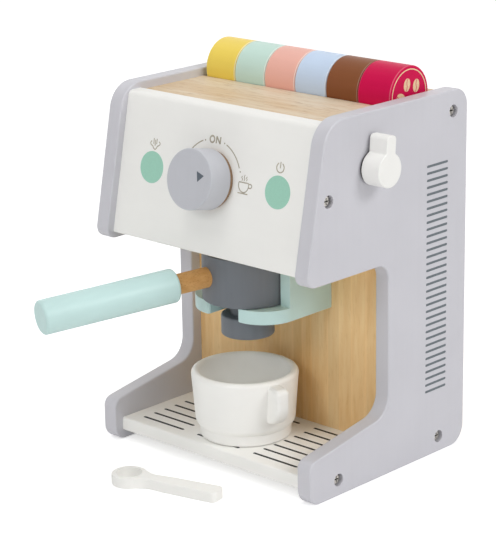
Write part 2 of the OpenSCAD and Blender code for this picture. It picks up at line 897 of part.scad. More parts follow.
module steam_stop() {
    color(beech)
        on_side([steam_y, steam_z]) translate([0, 0, -side_t - rest_gap - stop_t])
            ring(stop_t, steam_stop_r, steam_axle_r + glue_gap);
}

module steam_washer() {
    color(charcoal) on_side([steam_y, steam_z]) washer(steam_gap, steam_r, steam_axle_r);
}

// ---------- coffee pods ----------

// Pod k of the row, counted from the left
module pod(k) {
    color(pod_colours[k])
        translate([pod_x + k * (pod_len + pod_gap), pod_y, pod_z])
            rotate([0, 90, 0]) rod(pod_len, pod_r, pod_edge);
}

module pod_yellow() { pod(0); }
module pod_mint() { pod(1); }
module pod_salmon() { pod(2); }
module pod_blue() { pod(3); }
module pod_brown() { pod(4); }
module pod_red() { pod(5); }

// ---------- cup ----------

// The cup's outer profile from foot to rim, as [radius, height], d further out
function cup_outside(d) =
    let (c = cup_belly_r - cup_belly_round, a = acos((cup_foot_r - c) / cup_belly_round),
        lip = cup_wall / 2, foot_round = 1.5)
    [for (p = concat(
            arc([cup_foot_r - foot_round, foot_round], foot_round, -90, 0, edge_step),
            arc([c, cup_foot_h + cup_belly_round * sin(a)], cup_belly_round, -a, 0),
            arc([cup_r - lip, cup_h - lip], lip, 0, 90, edge_step)))
        [p[0] + d, p[1]]];

module cup_bowl() {
    lip = cup_wall / 2;
    bowl_r = cup_belly_r - cup_wall;
    round = 12;
    color(white)
        translate([-cup_left, cup_y, cup_z])
            rotate_extrude()
                polygon(concat(
                    [[0, 0]],
                    cup_outside(0),
                    arc([cup_r - lip, cup_h - lip], lip, 90 + edge_step, 180, edge_step),
                    arc([bowl_r - round, cup_floor + round], round, 0, -90),
                    [[0, cup_floor]]));
}

module cup_ear() {
    reach = cup_r + ear_reach;
    top = cup_h - ear_drop;
    root = cup_foot_r - cup_wall;
    shape = outline([
        [root, ear_low, 0],
        [reach, ear_low, ear_low_r],
        [reach, top, ear_top_r],
        [root, top, 0]]);
    color(white)
        translate([-cup_left, cup_y, cup_z])
            difference() {
                rotate([0, 0, -ear_turn]) translate([0, ear_t / 2, 0]) rotate([90, 0, 0])
                    soft_board(shape, ear_t, ear_edge);
                rotate_extrude()
                    polygon(concat([[0, 0]], cup_outside(glue_gap), [[0, cup_h]]));
            }
}

// ---------- spoon ----------

module spoon() {
    root = spoon_ring_r * [0.6, 0.76];     // where the handle's edges leave the ring
    belly = [spoon_len * 0.45, spoon_end - 0.8];
    handle = outline([
        [root[0], -root[1], 0],
        [spoon_waist, -spoon_neck, 14],
        [belly[0], -belly[1], 30],
        [spoon_len, -spoon_end, 4],
        [spoon_len, spoon_end, 4],
        [belly[0], belly[1], 30],
        [spoon_waist, spoon_neck, 14],
        [root[0], root[1], 0]]);
    color(white)
        translate([-spoon_left, spoon_y, 0]) rotate([0, 0, spoon_turn])
            difference() {
                union() {
                    soft_board(handle, spoon_t, spoon_edge);
                    rod(spoon_t, spoon_ring_r, spoon_edge);
                }
                translate([0, 0, -1]) cylinder(h = spoon_t + 2, r = spoon_hole_r);
            }
}

side_panel_left();
side_panel_right();
front_panel();
top_board();
base_board();
column_board();
back_board();
head_floor();
side_screws();
frame_dowels();
group_holder();
holder_screws();
portafilter_basket();
portafilter_spout();
portafilter_peg();
portafilter_grip();
dial_knob();
dial_axle();
dial_stop();
dial_washer();
steam_knob();
steam_axle();
steam_stop();
steam_washer();
pod_yellow();
pod_mint();
pod_salmon();
pod_blue();
pod_brown();
pod_red();
cup_bowl();
cup_ear();
spoon();
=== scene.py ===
# %% [markdown]
# # A toy coffee maker in painted wood
# The construction comes ready-made: every board, knob and pod is already a mesh at its real
# size. This notebook gives it paint, wood, ink and light. Everything is in metres, the machine
# stands on z = 0 and its front looks along -Y.

# %% Load the built machine
import json
import math

import bmesh
import bpy
from mathutils import Matrix, Quaternion, Vector


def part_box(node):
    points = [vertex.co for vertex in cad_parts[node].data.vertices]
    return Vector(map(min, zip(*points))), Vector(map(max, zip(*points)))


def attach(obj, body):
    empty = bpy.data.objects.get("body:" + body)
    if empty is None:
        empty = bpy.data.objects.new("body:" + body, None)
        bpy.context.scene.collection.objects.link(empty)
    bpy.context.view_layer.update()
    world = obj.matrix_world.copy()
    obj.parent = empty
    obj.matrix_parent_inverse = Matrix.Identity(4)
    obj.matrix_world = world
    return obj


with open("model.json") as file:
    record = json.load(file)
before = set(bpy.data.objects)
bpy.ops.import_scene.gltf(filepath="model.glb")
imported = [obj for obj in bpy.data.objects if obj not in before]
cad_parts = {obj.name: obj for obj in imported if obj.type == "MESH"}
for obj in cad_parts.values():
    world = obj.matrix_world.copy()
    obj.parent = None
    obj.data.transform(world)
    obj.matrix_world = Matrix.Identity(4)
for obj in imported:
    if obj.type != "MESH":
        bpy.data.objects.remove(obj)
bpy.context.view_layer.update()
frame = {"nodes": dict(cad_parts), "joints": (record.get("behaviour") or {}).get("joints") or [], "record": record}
nodes = frame["nodes"]
MM = 0.001
print("nodes loaded:", len(nodes))

# %% [markdown]
# ## The camera
# A long lens from a metre and a half away keeps the verticals almost parallel, as product
# studios like it. A camera looks along its own -Z, so a quaternion that tracks the target with
# -Z sets it, and a last turn about Z gives the slight tilt of a hand-set tripod.

# %% Camera
EYE = Vector((0.9773, -1.0636, 0.5620))
AIM = Vector((0.0013, -0.0354, 0.1366))
LENS_MM = 141.55
TRIPOD_TILT = math.radians(-0.94)
NEAR_CLIP = 0.05

camera = bpy.data.objects.new("studio_camera", bpy.data.cameras.new("studio_camera"))
bpy.context.scene.collection.objects.link(camera)
camera.data.lens = LENS_MM
camera.data.clip_start = NEAR_CLIP
camera.location = EYE
camera.rotation_mode = "QUATERNION"
towards_toy = (AIM - EYE).to_track_quat("-Z", "Y")
camera.rotation_quaternion = towards_toy @ Quaternion((0, 0, 1), TRIPOD_TILT)
bpy.context.scene.camera = camera
bpy.context.scene.view_settings.view_transform = "Standard"
print("camera", round((AIM - EYE).length, 3), "m from its target")

# %% [markdown]
# ## Nodes with few words
# Materials are graphs. A small helper makes a node, sets its plain values and links the rest,
# so that a graph reads like a recipe. Colours are written as a painter reads them off a chart,
# from 0 to 255, and turned into the linear values that shaders use.


# %% Colours, nodes and links
def linear(red, green, blue):
    """A chart colour, 0 to 255, as linear RGBA."""
    parts = [c / 255 for c in (red, green, blue)]
    return [c / 12.92 if c <= 0.04045 else ((c + 0.055) / 1.055) ** 2.4 for c in parts] + [1.0]


def put(tree, kind, settings=None, **sockets):
    """A new node of that kind: settings are its own properties, sockets its inputs by name."""
    node = tree.nodes.new(kind)
    for name, value in (settings or {}).items():
        setattr(node, name, value)
    for name, value in sockets.items():
        plug(tree, node, name.replace("_", " "), value)
    return node


def plug(tree, node, name, value):
    """Links an output to the input of that name, or writes a plain value into it."""
    socket = node.inputs[int(name)] if name.isdigit() else node.inputs[name]
    if isinstance(value, bpy.types.NodeSocket):
        tree.links.new(value, socket)
    else:
        socket.default_value = value


def new_material(name):
    """An empty Principled material and its node tree."""
    material = bpy.data.materials.new(name)
    material.use_nodes = True
    return material, material.node_tree


print("chart grey 128 is", round(linear(128, 128, 128)[0], 3), "to a shader")

# %% [markdown]
# Nodes also do the sums of a graph. These helpers calculate, blend two colours, stretch one
# range of numbers to another, and multiply a vector or a colour.


# %% Sums, blends and ranges
def maths(tree, operation, a, b=0.0):
    node = put(tree, "ShaderNodeMath", {"operation": operation})
    plug(tree, node, "0", a)
    plug(tree, node, "1", b)
    return node.outputs[0]


def blend_colours(tree, factor, a, b):
    node = put(tree, "ShaderNodeMix", {"data_type": "RGBA"})
    plug(tree, node, "0", factor)
    plug(tree, node, "6", a)
    plug(tree, node, "7", b)
    return node.outputs[2]


def spread(tree, value, low, high, to_low=0.0, to_high=1.0):
    """Stretches a value from one range to another and clamps it."""
    node = put(tree, "ShaderNodeMapRange",
               From_Min=low, From_Max=high, To_Min=to_low, To_Max=to_high)
    plug(tree, node, "Value", value)
    return node.outputs[0]


def stretched(tree, vector, factors):
    """A vector times one factor for each axis: a large factor squeezes a pattern."""
    node = put(tree, "ShaderNodeVectorMath", {"operation": "MULTIPLY"})
    plug(tree, node, "0", vector)
    plug(tree, node, "1", factors)
    return node.outputs[0]


def toned(tree, colour, tone):
    """A colour made darker or lighter by a tone near 1."""
    node = put(tree, "ShaderNodeVectorMath", {"operation": "SCALE"})
    plug(tree, node, "0", colour)
    plug(tree, node, "Scale", tone)
    return node.outputs[0]


print("sums ready")

# %% [markdown]
# Every pattern is drawn in coordinates fixed to the piece itself, in metres, so it moves along
# with the piece. A noise of scale 1000 therefore changes about once in each millimetre.


# %% Patterns fixed to a piece
def on_piece(tree):
    """Coordinates that are fixed to the piece."""
    return put(tree, "ShaderNodeTexCoord").outputs["Object"]


def x_on_piece(tree):
    return put(tree, "ShaderNodeSeparateXYZ", Vector=on_piece(tree)).outputs["X"]


def noise(tree, vector, scale, detail=2.0):
    node = put(tree, "ShaderNodeTexNoise", Vector=vector, Scale=scale, Detail=detail)
    return node.outputs[0]


print("patterns ready")

# %% [markdown]
# An effect that several materials share is a node group with named inputs and outputs. It is
# built once, and each material places it with its own values.


# %% Groups
def new_group(name, inputs, outputs):
    """An empty node group with named sockets, and its two end nodes."""
    group = bpy.data.node_groups.new(name, "ShaderNodeTree")
    kinds = {"value": "NodeSocketFloat", "colour": "NodeSocketColor", "vector": "NodeSocketVector"}
    for label, kind in inputs.items():
        group.interface.new_socket(label, in_out="INPUT", socket_type=kinds[kind])
    for label, kind in outputs.items():
        group.interface.new_socket(label, in_out="OUTPUT", socket_type=kinds[kind])
    return group, group.nodes.new("NodeGroupInput"), group.nodes.new("NodeGroupOutput")


print("groups ready")

# %% [markdown]
# ## Paint on wood
# The boards and turned parts are sprayed with a water-based satin paint. Up close it is never
# one flat colour: the film is a little thicker here and thinner there, the grain beneath lifts
# it in faint lines, and the spray leaves a fine orange-peel skin. Every paint on the toy has
# those three effects, so they go into one node group with named inputs.

# %% Group: a sprayed film over grain
film, film_in, film_out = new_group(
    "sprayed_film",
    {"Colour": "colour", "Grain Stretch": "vector", "Grain": "value", "Base Roughness": "value"},
    {"Colour": "colour", "Roughness": "value", "Height": "value"},
)
CLOUD_SCALE, CLOUD_TONE, CLOUD_ROUGHNESS = 22.0, 0.1, 0.08
PEEL_SCALE, PEEL_HEIGHT = 750.0, 0.35
FIBRE_HEIGHT = 3.0
place = on_piece(film)
cloud = noise(film, place, CLOUD_SCALE, 3.0)
peel = noise(film, place, PEEL_SCALE, 1.0)
fibre = noise(film, stretched(film, place, film_in.outputs["Grain Stretch"]), 1.0, 3.0)
thin = maths(film, "MULTIPLY", maths(film, "SUBTRACT", cloud, 0.5), CLOUD_TONE)
lines = maths(film, "MULTIPLY", maths(film, "SUBTRACT", fibre, 0.5), film_in.outputs["Grain"])
tone = maths(film, "ADD", 1.0, maths(film, "ADD", thin, lines))
film.links.new(toned(film, film_in.outputs["Colour"], tone), film_out.inputs["Colour"])
rough = maths(film, "ADD", film_in.outputs["Base Roughness"],
              maths(film, "MULTIPLY", cloud, CLOUD_ROUGHNESS))
film.links.new(rough, film_out.inputs["Roughness"])
height = maths(film, "ADD", maths(film, "MULTIPLY", peel, PEEL_HEIGHT),
               maths(film, "MULTIPLY", lines, FIBRE_HEIGHT))
film.links.new(height, film_out.inputs["Height"])
print("group", film.name, "with", len(film.nodes), "nodes")

# %% [markdown]
# The rounded rims of the pods catch the light in a thin pale line, and that highlight is
# painted into their colour here as a painted highlight. A mask made from sharp edges could find
# the rims too, but the pod's own length gives a line of exact width. It starts and ends softly at
# two distances from the pod's end, both under a millimetre, and a second group finds it from the
# pod's middle and half its length.

# %% Group: a painted rim highlight
rim, rim_in, rim_out = new_group(
    "painted_rim_highlight", {"Colour": "colour", "Middle": "value", "Half Length": "value", "Wear": "value"},
    {"Colour": "colour"})
# A pale line along each rim of a pod, drawn into the colour: a painted highlight where the rounded rim catches the
# light.
LINE_STARTS, LINE_ENDS = (0.0001, 0.0003), (0.0009, 0.0006)
RIM_HIGHLIGHT_COLOUR = (252, 250, 244)
outward = maths(rim, "ABSOLUTE", maths(rim, "SUBTRACT", x_on_piece(rim), rim_in.outputs["Middle"]))
from_end = maths(rim, "SUBTRACT", rim_in.outputs["Half Length"], outward)
line = maths(rim, "MULTIPLY", spread(rim, from_end, *LINE_ENDS),
             spread(rim, from_end, *LINE_STARTS))
rim_highlight_share = maths(rim, "MULTIPLY", line, rim_in.outputs["Wear"])
pale = blend_colours(rim, rim_highlight_share, rim_in.outputs["Colour"], linear(*RIM_HIGHLIGHT_COLOUR))
rim.links.new(pale, rim_out.inputs["Colour"])
print("group", rim.name, "with", len(rim.nodes), "nodes")

# %% [markdown]
# A paint is then one Principled shader fed by the group. The film's depth is a tenth of a
# millimetre at most, so the bump stays at that distance. A weak clear coat gives the soft
# highlight that runs along rounded edges.

# %% A surface from colour, roughness and height
COAT_ROUGHNESS = 0.3


def finish_surface(material, colour, roughness, height, depth, coat, specular=0.3):
    """Feeds a Principled shader with a colour, a roughness and a height."""
    tree = material.node_tree
    shader = tree.nodes["Principled BSDF"]
    bump = put(tree, "ShaderNodeBump", Strength=1.0, Distance=depth, Height=height)
    tree.links.new(colour, shader.inputs["Base Color"])
    tree.links.new(roughness, shader.inputs["Roughness"])
    tree.links.new(bump.outputs[0], shader.inputs["Normal"])
    shader.inputs["Coat Weight"].default_value = coat
    shader.inputs["Coat Roughness"].default_value = COAT_ROUGHNESS
    shader.inputs["Specular IOR Level"].default_value = specular


print("a clear coat has a roughness of", COAT_ROUGHNESS)

# %% Sprayed paint
ALONG_X = (9.0, 260.0, 260.0)
ALONG_Y = (260.0, 9.0, 260.0)
ALONG_Z = (260.0, 260.0, 9.0)
FILM_DEPTH = 0.00008
FILM_COAT = 0.04
POD_ROUGHNESS = 0.33


def paint(name, colour, grain=0.05, stretch=ALONG_Z, roughness=0.42, highlit_pod=None, rim_highlight=0.5,
          specular=0.3):
    """A sprayed paint; for a pod, it also paints a pale highlight along the pod's rims."""
    material, tree = new_material(name)
    layer = put(tree, "ShaderNodeGroup", {"node_tree": film}, Colour=linear(*colour),
                Grain_Stretch=stretch, Grain=grain, Base_Roughness=roughness)
    film_colour = layer.outputs["Colour"]
    if highlit_pod:
        low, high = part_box(highlit_pod)
        edge = put(tree, "ShaderNodeGroup", {"node_tree": rim}, Colour=film_colour, Wear=rim_highlight,
                   Middle=(low.x + high.x) / 2, Half_Length=(high.x - low.x) / 2)
        film_colour = edge.outputs["Colour"]
    finish_surface(material, film_colour, layer.outputs["Roughness"],
                   layer.outputs["Height"], FILM_DEPTH, FILM_COAT, specular)
    return material


# For a pod, the last strength sets how bright the painted highlight along its rims is.
def pod_paint(name, colour, pod, grain=0.05, rim_highlight=0.5, specular=0.3):
    return paint(name, colour, grain, ALONG_X, POD_ROUGHNESS, pod, rim_highlight, specular)


print("a paint film is up to", round(FILM_DEPTH / MM, 3), "mm deep")

# %% [markdown]
# The chart of paints: dove grey for the sides, whites for the panels, the knob, the cup and the
# spoon, mint for the holder and the grip, charcoal for the basket and the spout, the dove grey
# made darker for the dial as painted shade, and one colour for each pod. The whites of the front
# panel, the base board and the cup are made lighter as painted light. A pale painted highlight
# on the rims stands out most on a dark paint, so the brown and the red pod get little of it.

# %% Chart of paints
paints = {
    "grey_paint": paint("dove_grey_paint", (204, 203, 209), grain=0.03, roughness=0.33,
                        specular=0.45),
    "white_paint": paint("soft_white_paint", (244, 243, 239), grain=0.02, stretch=ALONG_X),
    # The panel white and the brighter white below are copies of the white paint made lighter as painted light.
    "panel_white": paint("panel_white_paint", (245, 244, 240), grain=0.02, stretch=ALONG_X),
    "painted_light_white": paint("white_paint_with_painted_light", (248, 247, 243), grain=0.02, stretch=ALONG_X),
    "mint_paint": paint("mint_paint", (196, 225, 222), grain=0.06, stretch=ALONG_Y,
                        roughness=0.34, specular=0.45),
    "charcoal_paint": paint("charcoal_paint", (112, 117, 123), grain=0.14),
    # The dial takes the dove grey of the sides made darker: painted shade for the weaker light on its front face.
    "dial_paint": paint("dial_grey_with_painted_shade", (194, 195, 201), grain=0.04),
    "yellow_paint": pod_paint("vanilla_yellow_paint", (246, 217, 93), "pod_yellow", grain=0.06),
    "pod_mint_paint": pod_paint("pistachio_mint_paint", (202, 230, 219), "pod_mint"),
    "salmon_paint": pod_paint("salmon_paint", (242, 183, 168), "pod_salmon"),
    "blue_paint": pod_paint("pale_blue_paint", (202, 220, 243), "pod_blue", rim_highlight=0.35),
    "brown_paint": pod_paint("cocoa_brown_paint", (134, 79, 44), "pod_brown", grain=0.12,
                             rim_highlight=0.12, specular=0.15),
    "red_paint": pod_paint("raspberry_paint", (211, 6, 78), "pod_red", grain=0.10,
                           rim_highlight=0.12, specular=0.1),
}
print("paints:", ", ".join(sorted(paints)))

# %% [markdown]
# ## Bare wood
# Three kinds of timber stay unpainted: the pale top, the boards of the column, and the dowels
# and the handle's peg. Wood is drawn in three scales at once: broad bands where the saw met the
# year rings, fine streaks, and dark pores the length of a grain of rice. All of them are noise
# squeezed across the grain and stretched along it. A flat texture would break off at every
# edge, while noise in the piece's own coordinates runs through the board and comes out at its
# end, as real grain does. One group does it, and each board gives its own direction and colours.

# %% Group: wood figure
timber, timber_in, timber_out = new_group(
    "timber_figure",
    {"Light": "colour", "Dark": "colour", "Pore": "colour", "Grain Stretch": "vector",
     "Lath Tone": "value", "Pores": "value"},
    {"Colour": "colour", "Roughness": "value", "Height": "value"},
)
BAND_SCALE, STREAK_SCALE, PORE_SCALE = 0.22, 1.3, 5.5
BAND_RANGE, STREAK_RANGE, PORE_RANGE = (0.36, 0.64), (0.35, 0.65), (0.58, 0.68)
BAND_SHARE, STREAK_SHARE = 0.55, 0.45
STREAK_HEIGHT = 0.4
WOOD_ROUGHNESS = (0.58, 0.46)
run = stretched(timber, on_piece(timber), timber_in.outputs["Grain Stretch"])
band = spread(timber, noise(timber, run, BAND_SCALE, 2.0), *BAND_RANGE)
streak = spread(timber, noise(timber, run, STREAK_SCALE, 4.0), *STREAK_RANGE)
pore = spread(timber, noise(timber, run, PORE_SCALE, 2.0), *PORE_RANGE)
mixed = maths(timber, "ADD", maths(timber, "MULTIPLY", band, BAND_SHARE),
              maths(timber, "MULTIPLY", streak, STREAK_SHARE))
figured = blend_colours(timber, mixed, timber_in.outputs["Dark"], timber_in.outputs["Light"])
open_pore = maths(timber, "MULTIPLY", pore, timber_in.outputs["Pores"])
pored = blend_colours(timber, open_pore, figured, timber_in.outputs["Pore"])
timber.links.new(toned(timber, pored, timber_in.outputs["Lath Tone"]), timber_out.inputs["Colour"])
rough = spread(timber, streak, 0.0, 1.0, *WOOD_ROUGHNESS)
timber.links.new(rough, timber_out.inputs["Roughness"])
height = maths(timber, "SUBTRACT", maths(timber, "MULTIPLY", streak, STREAK_HEIGHT), pore)
timber.links.new(height, timber_out.inputs["Height"])
print("group", timber.name, "with", len(timber.nodes), "nodes")

# %% [markdown]
# The column's boards are glued up from upright laths, so neighbouring strips differ a little in
# tone. Dividing x by the lath's width and rounding down numbers the laths, and a white noise
# turns each number into its own tone. A slow noise lets the laths wander, so that they aren't
# all of one width, and thin pale lines mark the glue joints.

# %% Woods
LATH = 0.0115
LATH_TONES = (0.95, 1.03)
WANDER_STRETCH, WANDER = (70.0, 0.0, 1.2), 1.6
GLUE_RANGE, GLUE_TONE = (0.40, 0.5), 0.06
GRAIN_DEPTH = 0.00006
OIL_COAT = 0.05


def lath_tone(tree, width):
    """One brightness for each lath of a glued-up board, near 1."""
    wander = noise(tree, stretched(tree, on_piece(tree), WANDER_STRETCH), 1.0, 1.0)
    steps = maths(tree, "ADD", maths(tree, "DIVIDE", x_on_piece(tree), width),
                  maths(tree, "MULTIPLY", wander, WANDER))
    number = maths(tree, "FLOOR", steps)
    random = put(tree, "ShaderNodeTexWhiteNoise", {"noise_dimensions": "1D"}, W=number).outputs[0]
    off_middle = maths(tree, "ABSOLUTE", maths(tree, "SUBTRACT", maths(tree, "FRACT", steps), 0.5))
    glue = maths(tree, "MULTIPLY", spread(tree, off_middle, *GLUE_RANGE), GLUE_TONE)
    return maths(tree, "ADD", spread(tree, random, 0.0, 1.0, *LATH_TONES), glue)


def wood(name, light, dark, pore, stretch, laths=False, pores=0.5):
    """A timber with its light, dark and pore colours; pores says how deep those are drawn."""
    material, tree = new_material(name)
    figure = put(tree, "ShaderNodeGroup", {"node_tree": timber}, Light=linear(*light),
                 Dark=linear(*dark), Pore=linear(*pore), Grain_Stretch=stretch, Pores=pores,
                 Lath_Tone=lath_tone(tree, LATH) if laths else 1.0)
    finish_surface(material, figure.outputs["Colour"], figure.outputs["Roughness"],
                   figure.outputs["Height"], GRAIN_DEPTH, OIL_COAT)
    return material


woods = {
    "pale_wood": wood("pale_pine", (228, 213, 190), (212, 183, 143), (172, 134, 90),
                      (16.0, 150.0, 150.0)),
    "board_wood": wood("beech_laths", (250, 217, 164), (235, 190, 128), (214, 168, 108),
                       (170.0, 170.0, 20.0), laths=True, pores=0.2),
    "dowel_wood": wood("oiled_dowel", (222, 174, 112), (198, 146, 84), (160, 108, 56),
                       (300.0, 30.0, 300.0)),
}
print("woods:", ", ".join(sorted(woods)))

# %% [markdown]
# ## Ink, steel and felt
# Printed signs are a flat ink with a matt face. The screws are zinc plated. The washer behind
# the steam knob is felt coloured nearly black, which is painted shade for the gap behind the
# knob, and the washer behind the dial is bare wood. Each of them is one colour with fine flecks
# in it: pigment in ink, painted glints in zinc, fibres in felt and wood. A group draws the flecks
# as a noise that moves tone, roughness and height together.

# %% Group: fine flecks
flecks, flecks_in, flecks_out = new_group(
    "fine_flecks",
    {"Colour": "colour", "Fineness": "value", "Speckle": "value", "Base Roughness": "value"},
    {"Colour": "colour", "Roughness": "value", "Height": "value"},
)
FLECK_RANGE = (0.3, 0.7)
ROUGHNESS_PLAY = 0.04
fleck = noise(flecks, on_piece(flecks), flecks_in.outputs["Fineness"])
speckle, base = flecks_in.outputs["Speckle"], flecks_in.outputs["Base Roughness"]
tone = spread(flecks, fleck, *FLECK_RANGE, maths(flecks, "SUBTRACT", 1.0, speckle),
              maths(flecks, "ADD", 1.0, speckle))
rough = spread(flecks, fleck, *FLECK_RANGE, maths(flecks, "SUBTRACT", base, ROUGHNESS_PLAY),
               maths(flecks, "ADD", base, ROUGHNESS_PLAY))
flecks.links.new(toned(flecks, flecks_in.outputs["Colour"], tone), flecks_out.inputs["Colour"])
flecks.links.new(rough, flecks_out.inputs["Roughness"])
flecks.links.new(fleck, flecks_out.inputs["Height"])
print("group", flecks.name, "with", len(flecks.nodes), "nodes")


# %% Small materials
def plain(name, colour, roughness, metallic=0.0, speckle=0.08, fineness=900.0, depth=0.00004):
    """A single colour with fine flecks, and no coat over it."""
    material, tree = new_material(name)
    skin = put(tree, "ShaderNodeGroup", {"node_tree": flecks}, Colour=linear(*colour),
               Fineness=fineness, Speckle=speckle, Base_Roughness=roughness)
    finish_surface(material, skin.outputs["Colour"], skin.outputs["Roughness"],
                   skin.outputs["Height"], depth, coat=0.0)
    tree.nodes["Principled BSDF"].inputs["Metallic"].default_value = metallic
    return material


inks = {
    "black_ink": plain("black_ink", (30, 32, 35), 0.6),
    "vent_ink": plain("vent_grey_ink", (110, 118, 123), 0.6),
    "sign_ink": plain("taupe_ink", (176, 168, 150), 0.6),
    "pointer_ink": plain("slate_ink", (93, 101, 110), 0.55),
    "green_ink": plain("button_green_ink", (160, 209, 189), 0.5, speckle=0.03),
    "cream_ink": plain("cream_ink", (240, 208, 166), 0.55),
}
small = {
    # On the zinc the strong flecks are painted glints: lighter and darker spots of metal that stand in for
    # sparkle.
    "screw_steel": plain("zinc_plating", (214, 210, 202), 0.24, metallic=1.0, speckle=0.3,
                         fineness=700.0),
    # The felt's near-black colour is painted shade for the gap behind the steam knob.
    "washer_felt": plain("felt_washer_painted_shade", (52, 50, 52), 0.95, speckle=0.3, fineness=1500.0,
                         depth=0.0003),
    "washer_wood": plain("bare_washer_wood", (150, 122, 96), 0.8, speckle=0.15, fineness=500.0),
}
print("inks:", len(inks), "small finishes:", len(small))

# %% [markdown]
# The cross slots of the screws are darkened with painted shade, where their depth hides them
# from the light. The heads all face outwards along x, so the depth below their tops is a simple
# subtraction, and a blend darkens the metal where that depth lies between the slot's edge and its floor.

# %% Painted shade in the slots of the screws
SLOT_EDGE, SLOT_FLOOR = (0.0002, 0.0005), (0.0016, 0.0013)
SLOT_SHADE_COLOUR = (34, 32, 31)
steel = small["screw_steel"].node_tree
head_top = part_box("side_screws")[1].x
# The darkening below the head's top is painted shade in the slots.
below = maths(steel, "SUBTRACT", head_top, maths(steel, "ABSOLUTE", x_on_piece(steel)))
slot_shade = maths(steel, "MULTIPLY", spread(steel, below, *SLOT_EDGE), spread(steel, below, *SLOT_FLOOR))
base_colour = steel.nodes["Principled BSDF"].inputs["Base Color"]
unshaded_metal = base_colour.links[0].from_socket
steel.links.new(blend_colours(steel, slot_shade, unshaded_metal, linear(*SLOT_SHADE_COLOUR)), base_colour)
print("screw heads end at x =", round(head_top, 4))

# %% [markdown]
# ## Dressing the pieces
# Each built piece names the slot of its material, and takes the finish with that name. The
# front panel, the base board and the cup take copies of the white paint made lighter than on the
# spoon and the steam knob: that extra lightness is painted light.

# %% Dress the built pieces
finishes = {**paints, **woods, **small}
# These pieces take whites made lighter as painted light, in place of light that the lamps don't give them.
WHITES_FOR_LIGHT = {"front_panel": "panel_white", "base_board": "painted_light_white",
          "cup_bowl": "painted_light_white", "cup_ear": "painted_light_white"}
for part in frame["record"]["subparts"]:
    piece = nodes[part["node"]]
    piece.data.materials.clear()
    slot = WHITES_FOR_LIGHT.get(piece.name, part["material_slot"])
    piece.data.materials.append(finishes[slot])

# %% [markdown]
# ## Printed work
# Vent lines, drip lines and signs are printed or inked, so each is a very thin solid. It is
# drawn flat, and a matrix then carries the drawing to its place. The place goes into the mesh,
# so that the object itself stays at the origin.

# %% Turns, moves and finished pieces
HERE = Matrix.Identity(4)


def turned(degrees):
    """A turn about the drawing's own upright."""
    return Matrix.Rotation(math.radians(degrees), 4, "Z")


def moved(x, y, z=0.0):
    return Matrix.Translation((x, y, z))


def finished(name, bm, material, body, place=HERE):
    """Closes a bmesh into an object of that body and slot, with its place in the mesh."""
    bmesh.ops.transform(bm, matrix=place, verts=bm.verts)
    bmesh.ops.recalc_face_normals(bm, faces=bm.faces)
    mesh = bpy.data.meshes.new(name)
    bm.to_mesh(mesh)
    bm.free()
    mesh.materials.append(material)
    piece = bpy.data.objects.new(name, mesh)
    bpy.context.scene.collection.objects.link(piece)
    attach(piece, body)
    return piece


print("drawings can be turned, moved and finished")

# %% [markdown]
# Few shapes are needed: a disc, a bar with round ends and a flat band. A bar starts as a capped
# circle whose right half is moved along x. A band is a short line spun round the middle. An
# extrusion gives each of them its thickness.


# %% Flat shapes for ink
def thicken(bm, faces, depth):
    """Extrudes flat faces by depth along +Z, so that they become a thin closed solid."""
    grown = bmesh.ops.extrude_face_region(bm, geom=list(faces), use_keep_orig=True)
    verts = [v for v in grown["geom"] if isinstance(v, bmesh.types.BMVert)]
    bmesh.ops.translate(bm, verts=verts, vec=(0, 0, depth))


def add_disc(bm, radius, depth, segments=24, place=HERE):
    """A thin solid disc, whose vertices it gives back."""
    disc = bmesh.ops.create_circle(bm, cap_ends=True, segments=segments, radius=radius)["verts"]
    thicken(bm, {f for v in disc for f in v.link_faces}, depth)
    solid = set(disc) | {w for v in disc for e in v.link_edges for w in e.verts}
    bmesh.ops.transform(bm, matrix=place, verts=list(solid))
    return list(solid)


def add_bar(bm, length, width, depth, place):
    """A bar with round ends from the origin along x, in the plane of x and y."""
    verts = add_disc(bm, width / 2, depth, segments=16)
    bmesh.ops.translate(bm, verts=verts, vec=(width / 2, 0, 0))
    far = [v for v in verts if v.co.x > width / 2 - 1e-6]
    bmesh.ops.translate(bm, verts=far, vec=(length - width, 0, 0))
    bmesh.ops.transform(bm, matrix=place, verts=verts)


def add_ring(bm, radius, width, depth, start=0.0, sweep=360.0, segments=72):
    """A flat band round the origin, from the angle start on, anticlockwise."""
    inner = bm.verts.new(turned(start) @ Vector((radius - width / 2, 0, 0)))
    outer = bm.verts.new(turned(start) @ Vector((radius + width / 2, 0, 0)))
    edge = bm.edges.new((inner, outer))
    earlier = set(bm.faces)
    bmesh.ops.spin(bm, geom=[inner, outer, edge], cent=(0, 0, 0), axis=(0, 0, 1),
                   angle=math.radians(sweep), steps=max(3, round(segments * sweep / 360)),
                   use_merge=sweep == 360.0)
    thicken(bm, [f for f in bm.faces if f not in earlier], depth)


print("flat shapes ready")

# %% [markdown]
# Where does the ink go? The machine's own sizes answer: a box of a node gives an edge, a joint
# gives the middle of the dial and the lean of the face. A matrix whose columns are the
# directions "across", "up the slope" and "outwards" turns a flat drawing in millimetres into
# its place on the slope.

# %% Places of the printed faces
joints = {joint["name"]: joint for joint in frame["joints"]}
ACROSS, BACK, UP = Vector((1, 0, 0)), Vector((0, 1, 0)), Vector((0, 0, 1))
side_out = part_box("side_panel_right")[1].x
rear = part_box("side_panel_right")[1].y


def drawing(origin, across, up, outwards):
    """The matrix from a drawing in millimetres to its place in the scene."""
    axes = Matrix((across, up, outwards)).transposed().to_4x4()
    return Matrix.Translation(origin) @ axes @ Matrix.Scale(MM, 4)


dial_axis = Vector(joints["dial_turn"]["axis"]).normalized()
slope_up = dial_axis.cross(ACROSS)
face = drawing(Vector(joints["dial_turn"]["pos_m"]), ACROSS, slope_up, dial_axis)
print("face leans", round(math.degrees(math.asin(dial_axis.z)), 1), "degrees")

